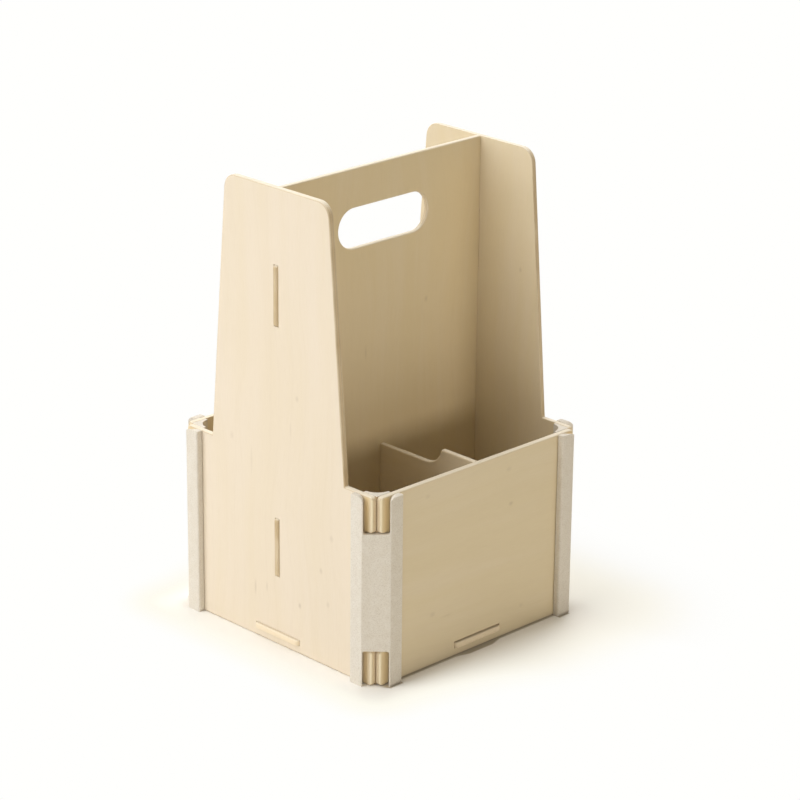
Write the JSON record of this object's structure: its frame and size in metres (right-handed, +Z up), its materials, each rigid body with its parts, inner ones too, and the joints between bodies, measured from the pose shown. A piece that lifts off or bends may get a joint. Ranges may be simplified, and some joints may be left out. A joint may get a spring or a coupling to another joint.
{
  "type": "bottle caddy",
  "caption": "Open square plywood carrier with tapered ends, a full-height central handle panel, crossed low dividers and moulded corner profiles, for upright bottles.",
  "frame": {"origin": "centre of the footprint, on the surface the caddy stands on", "axes": "+X from the near end panel to the far end panel, +Y from the front side panel to the back one, +Z up"},
  "size_m": [0.1482, 0.1482, 0.238],
  "materials": {
    "plywood": "raw sanded poplar plywood, laser-cut edges",
    "corner_composite": "matt pale wood-fibre composite with fine speckle"
  },
  "bodies": {
    "root": {"near_end_panel": "plywood", "far_end_panel": "plywood", "front_side_panel": "plywood", "back_side_panel": "plywood", "handle_panel": "plywood", "cross_divider": "plywood", "floor_panel": "plywood", "corner_profile_front_near": "corner_composite", "corner_profile_front_far": "corner_composite", "corner_profile_back_far": "corner_composite", "corner_profile_back_near": "corner_composite"}
  },
  "joints": []
}
